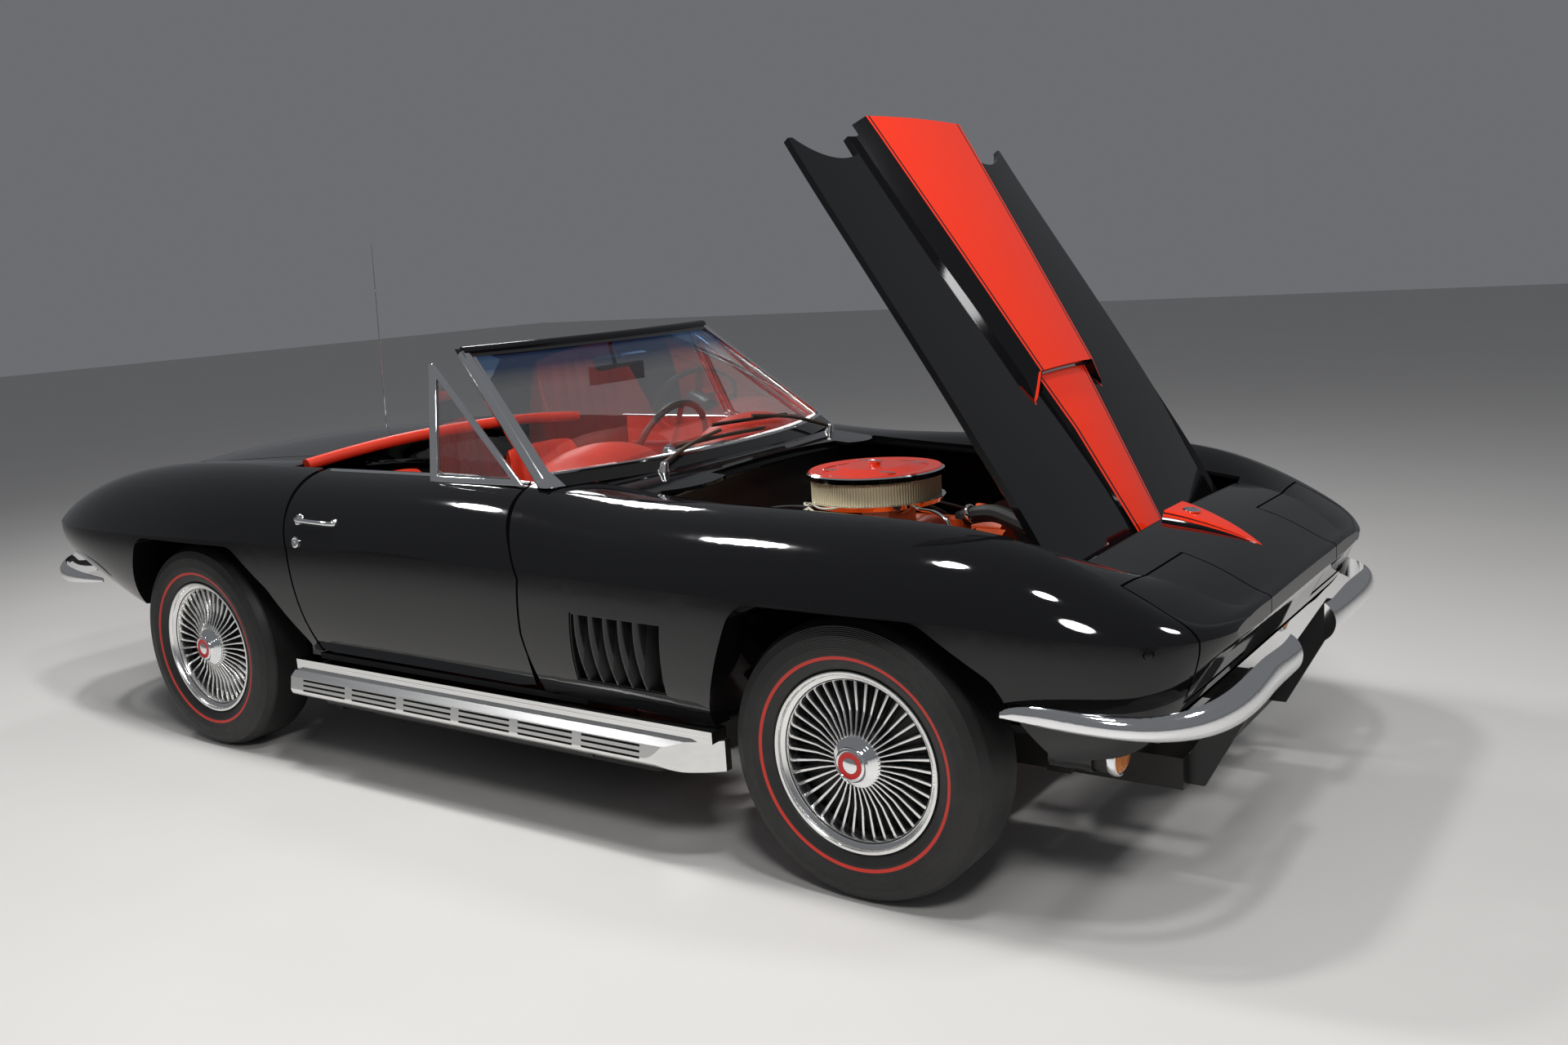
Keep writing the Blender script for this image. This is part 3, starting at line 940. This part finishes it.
# Tyres: black rubber with a thin red line set in the outer wall, fine ribs round it and grooved treads.
# Each tread has five straight ribs with small sipes, and the rubber is dressed to a low sheen.
tread = Finish("tyre_rubber", (0.014, 0.014, 0.014), roughness=0.55)
tyre_r, tyre_out = wheel_place(tread)
red_line = tyre_r.within(0.2455, 0.2535) * tyre_out.over(0.02)
tread.feed(Base_Color=tread.mix(red_line, tread.mix(tread.noise(26.0), (0.009, 0.009, 0.009),
                                                    (0.02, 0.019, 0.018)), (0.62, 0.035, 0.02)),
           Roughness=tread.ramp(tread.noise(22.0), 0.42, 0.62))
crown = tyre_r.over(0.3325)
grooves = (tyre_out * 262.0).math("COSINE").over(0.8) * abs(tyre_out).under(0.056)
wall_ribs = (tyre_r.within(0.258, 0.3225) * (tyre_r * 1570.0).math("SINE")
             + tyre_r.within(0.2375, 0.2435) + tyre_r.within(0.2555, 0.258))
turn_along = abs(tread.x - AXLE).math("MINIMUM", abs(tread.x - REAR_AXLE))
tread_turn = (tread.z - WHEEL_Z).math("ARCTAN2", turn_along)
sipes = (tread_turn * 150.0 + tyre_out * 90.0).math("SINE").over(0.86) * crown
tread.bump(wall_ribs * 0.35 - crown * grooves * 4.0 - sipes, 0.0016, 0.8)
dress(tread, *(f"tyre_{place}_{side}" for place in ("front", "rear") for side, hand in SIDES))

# Bumpers, aerial and grille: split blades of chromed steel on black stays, and a chromed whip aerial.
# The grille bars and the louvred side vents are cast and painted satin black.
bumper = Finish("bumper_chrome", CHROME, metallic=1.0, roughness=0.05)
front_stay = abs(abs(bumper.y) - 0.33).under(0.0066) * bumper.x.over(0) * (
    bumper.z.under(0.4505) + bumper.x.under(AXLE + 0.774)).math("MINIMUM", 1.0)
rear_stay = abs(abs(bumper.y) - 0.44).under(0.0066) * bumper.x.under(0) * bumper.x.over(AXLE - 3.6)
stay = (front_stay + rear_stay).math("MINIMUM", 1.0)
bumper.feed(Base_Color=bumper.mix(stay, CHROME, (0.01, 0.01, 0.01)), Metallic=1 - stay,
            Roughness=bumper.ramp(bumper.noise(14.0), 0.025, 0.09) + stay * 0.35)
dress(bumper, "front_bumpers", "rear_bumpers")
dress(chrome, "aerial")
vent_black = Finish("vent_black", (0.008, 0.008, 0.008), roughness=0.32)
outer_edge = abs(vent_black.y).over(0.846) * vent_black.x.under(AXLE)
vent_black.feed(Base_Color=vent_black.mix(outer_edge, (0.006, 0.006, 0.006), (0.01, 0.01, 0.011)),
                Roughness=vent_black.ramp(outer_edge, 0.42, 0.14))
vent_black.bump(vent_black.noise(140.0), 0.0002, 0.3)
dress(vent_black, "grille")

# Lamps: parking lamps hang under the front bumpers, each a black cup, a bright bezel and an amber dome.
# The four round tail lamps are red domes in bright rings, let into the tail panel.
amber = Finish("amber_lens", (0.95, 0.24, 0.01), roughness=0.1)
amber.set(Transmission_Weight=0.15)
PARK_Y, PARK_Z = 0.62, 0.378
lamp_dy, lamp_dz = abs(amber.y) - PARK_Y, amber.z - PARK_Z
rings = ((lamp_dy * lamp_dy + lamp_dz * lamp_dz).math("SQRT") * 1500.0).math("SINE")
amber.tone(20.0, (0.85, 0.17, 0.006), (0.98, 0.32, 0.02))
amber.bump(rings, 0.0008, 0.6)
for side, hand in SIDES:
    run([(0.405, hand * 0.636, 0.386), (0.45, hand * 0.627, 0.382), (0.5, hand * PARK_Y, PARK_Z)],
        0.0455, 6)
    fit(f"park_housing_{side}", "car", "body", enamel)
    spot = (AXLE + 0.485, hand * PARK_Y, PARK_Z)
    spun([(0, 0), (0, 0.022), (0.012, 0.036), (0.03, 0.0425), (0.058, 0.0435), (0.058, 0)], spot, (1, 0, 0))
    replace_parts(fit(f"park_cup_{side}", "car", "frame", chassis_paint), "parking_lamps")
    spun([(0.054, 0.0385), (0.054, 0.0455), (0.06, 0.0475), (0.066, 0.0475), (0.071, 0.0455), (0.073, 0.042),
          (0.07, 0.0385)], spot, (1, 0, 0))
    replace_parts(fit(f"park_bezel_{side}", "car", "chrome", chrome), "parking_lamps")
    spun([(0.056, 0), (0.056, 0.0388), (0.07, 0.0388), (0.0755, 0.035), (0.08, 0.026), (0.0825, 0.013),
          (0.083, 0)], spot, (1, 0, 0))
    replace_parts(fit(f"park_lens_{side}", "car", "amber", amber), "parking_lamps")
red_lens = Finish("red_lens", (0.55, 0.006, 0.006), roughness=0.08)
red_lens.set(Transmission_Weight=0.1)
red_lens.tone(20.0, (0.45, 0.004, 0.004), (0.66, 0.012, 0.01))
red_lens.bump((red_lens.z * 1400.0).math("SINE") + (red_lens.y * 1400.0).math("SINE"), 0.0006, 0.5)
TAIL_AIM = (-math.cos(math.radians(30)), 0, -math.sin(math.radians(30)))
for side, hand in SIDES:
    for place, y in (("inner", 0.33), ("outer", 0.52)):
        spot = (AXLE - 3.572, hand * y, 0.592)
        spun([(-0.018, 0), (-0.018, 0.05), (0.01, 0.05), (0.015, 0.044), (0.0175, 0.03), (0.017, 0.015),
              (0.0205, 0.013), (0.0215, 0)], spot, TAIL_AIM)
        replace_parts(fit(f"tail_lens_{place}_{side}", "car", "red_lens", red_lens), "tail_lamps")
        spun([(-0.018, 0.0495), (-0.018, 0.052), (0.004, 0.052), (0.006, 0.0575), (0.011, 0.0585),
              (0.015, 0.056), (0.017, 0.052), (0.0165, 0.0495)], spot, TAIL_AIM)
        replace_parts(fit(f"tail_ring_{place}_{side}", "car", "chrome", chrome), "tail_lamps")

# Rear splash panels: black pressed plates riveted between the floor, the sills' ends and the wheel houses.
# They keep road dirt off the seats, and have the same brushed paint as the frame.
for side, hand in SIDES:
    for place, low, high in (("side", (-1.958, 0.6, 0.2135), (-2.148, 0.604, 0.52)),
                             ("end", (-1.954, 0.6, 0.2135), (-1.958, 0.7, 0.5))):
        slab((low[0], hand * low[1], low[2]), (high[0], hand * high[1], high[2]), 0.0015, 1)
        fit(f"splash_{place}_{side}", "car", "frame", chassis_paint)

# Side exhausts: satin aluminium covers with rows of cooling slots over the pipes, round nosed at the front.
# A bright moulding runs along their top, and the slots and the pipe behind are heat-dulled black.
cover = Finish("exhaust_cover", (0.84, 0.84, 0.83), metallic=1.0, roughness=0.24)
inside_slot = (abs(cover.y).within(0.8, 0.8655) * cover.z.within(0.272, 0.31)
               * cover.x.under(AXLE - 0.58))
moulding = cover.z.over(0.3285)
cover_brushed = cover.mix(cover.noise(60.0, 3.0, (0.05, 1, 1)), (0.74, 0.74, 0.73), (0.9, 0.9, 0.89))
cover.feed(Base_Color=cover.mix(inside_slot, cover_brushed, (0.01, 0.01, 0.01)),
           Metallic=1 - inside_slot, Roughness=cover.ramp(moulding, 0.25, 0.09) + inside_slot * 0.4)
cover.bump(cover.noise(120.0, 3.0, (0.03, 1, 1)), 0.0002, 0.3)
dress(cover, "side_exhausts")
ROD_Z = 0.345
for side, hand in SIDES:
    run([(-0.395, hand * 0.826, ROD_Z), (-1.2, hand * 0.8265, ROD_Z), (-1.975, hand * 0.826, ROD_Z)],
        0.0125, 4)
    fit(f"rocker_rod_{side}", "car", "bright", chrome)

# Fuel lid: a round lid in the rear deck, with a bright rim and a fine red ring round its plain black middle.
# It is a painted casting on one hinge pin, flush with the deck round it.
lid_paint = Finish("fuel_lid_enamel", PAINT_BLACK, roughness=0.05)
LID_X = AXLE - 3.09
lid_dx = lid_paint.x - LID_X
lid_r = (lid_dx * lid_dx + lid_paint.y * lid_paint.y).math("SQRT")
lid_rim = lid_r.over(0.0585)
lid_line = lid_r.within(0.05, 0.0535)
lid_paint.feed(Base_Color=lid_paint.mix(lid_rim, lid_paint.mix(lid_line, PAINT_BLACK, STRIPE_RED),
                                        CHROME),
               Metallic=lid_rim, Roughness=lid_paint.ramp(lid_paint.noise(14.0), 0.03, 0.09))
dress(lid_paint, "fuel_lid")

# Stage: a plain pale floor and soft lamps, with the camera where the photographer stood.
# The floor is smooth sealed concrete, barely mottled, and none of it belongs to the car.
bpy.ops.mesh.primitive_plane_add(size=60, location=(0, 0, 0))
floor = bpy.context.object
floor.name = "floor"
pale = Finish("pale_floor", (0.62, 0.6, 0.58), roughness=0.55)
pale.tone(1.2, (0.6, 0.585, 0.565), (0.64, 0.625, 0.605))
pale.wear(2.0, 0.45, 0.6)
floor.data.materials.append(pale.material)
LAMPS = [((0.6, -1.1, 4.3), 0.5, 62), ((-1.4, -0.9, 4.3), 0.5, 62), ((2.4, -1.6, 4.3), 0.5, 55),
         ((-3.2, -1.2, 4.2), 0.5, 55), ((-3.5, 3.0, 3.8), 1.2, 50), ((3.5, -3.5, 4.0), 1.0, 80),
         ((4.6, 0.6, 3.8), 0.8, 60)]
for spot, size, power in LAMPS:
    bpy.ops.object.light_add(type="AREA", location=spot)
    lamp = bpy.context.object
    lamp.data.shape = "DISK"
    lamp.data.size = size
    lamp.data.energy = power
    lamp.rotation_euler = (Vector((0, 0, 0.6)) - Vector(spot)).to_track_quat("-Z", "Y").to_euler()
world = bpy.data.worlds.new("studio")
bpy.context.scene.world = world
world.use_nodes = True
world.node_tree.nodes["Background"].inputs["Color"].default_value = (0.3, 0.31, 0.33, 1)
world.node_tree.nodes["Background"].inputs["Strength"].default_value = 0.5

yaw, pitch, roll_turn = math.radians(-35.49), math.radians(10.63), math.radians(-3.66)
ahead_of = Vector((math.sin(yaw) * math.cos(pitch), math.cos(yaw) * math.cos(pitch), -math.sin(pitch)))
level = ahead_of.cross(Vector((0, 0, 1))).normalized()
rise = level.cross(ahead_of)
right = math.cos(roll_turn) * level + math.sin(roll_turn) * rise
up = -math.sin(roll_turn) * level + math.cos(roll_turn) * rise
lens = bpy.data.cameras.new("camera")
lens.lens = 31.75
lens.sensor_width = 36.0
camera = bpy.data.objects.new("camera", lens)
camera.matrix_world = Matrix(((right.x, up.x, -ahead_of.x, 3.0327),
                              (right.y, up.y, -ahead_of.y, -3.2963),
                              (right.z, up.z, -ahead_of.z, 1.4533),
                              (0, 0, 0, 1)))
bpy.context.scene.collection.objects.link(camera)
bpy.context.scene.camera = camera
bpy.context.scene.view_settings.view_transform = "Standard"
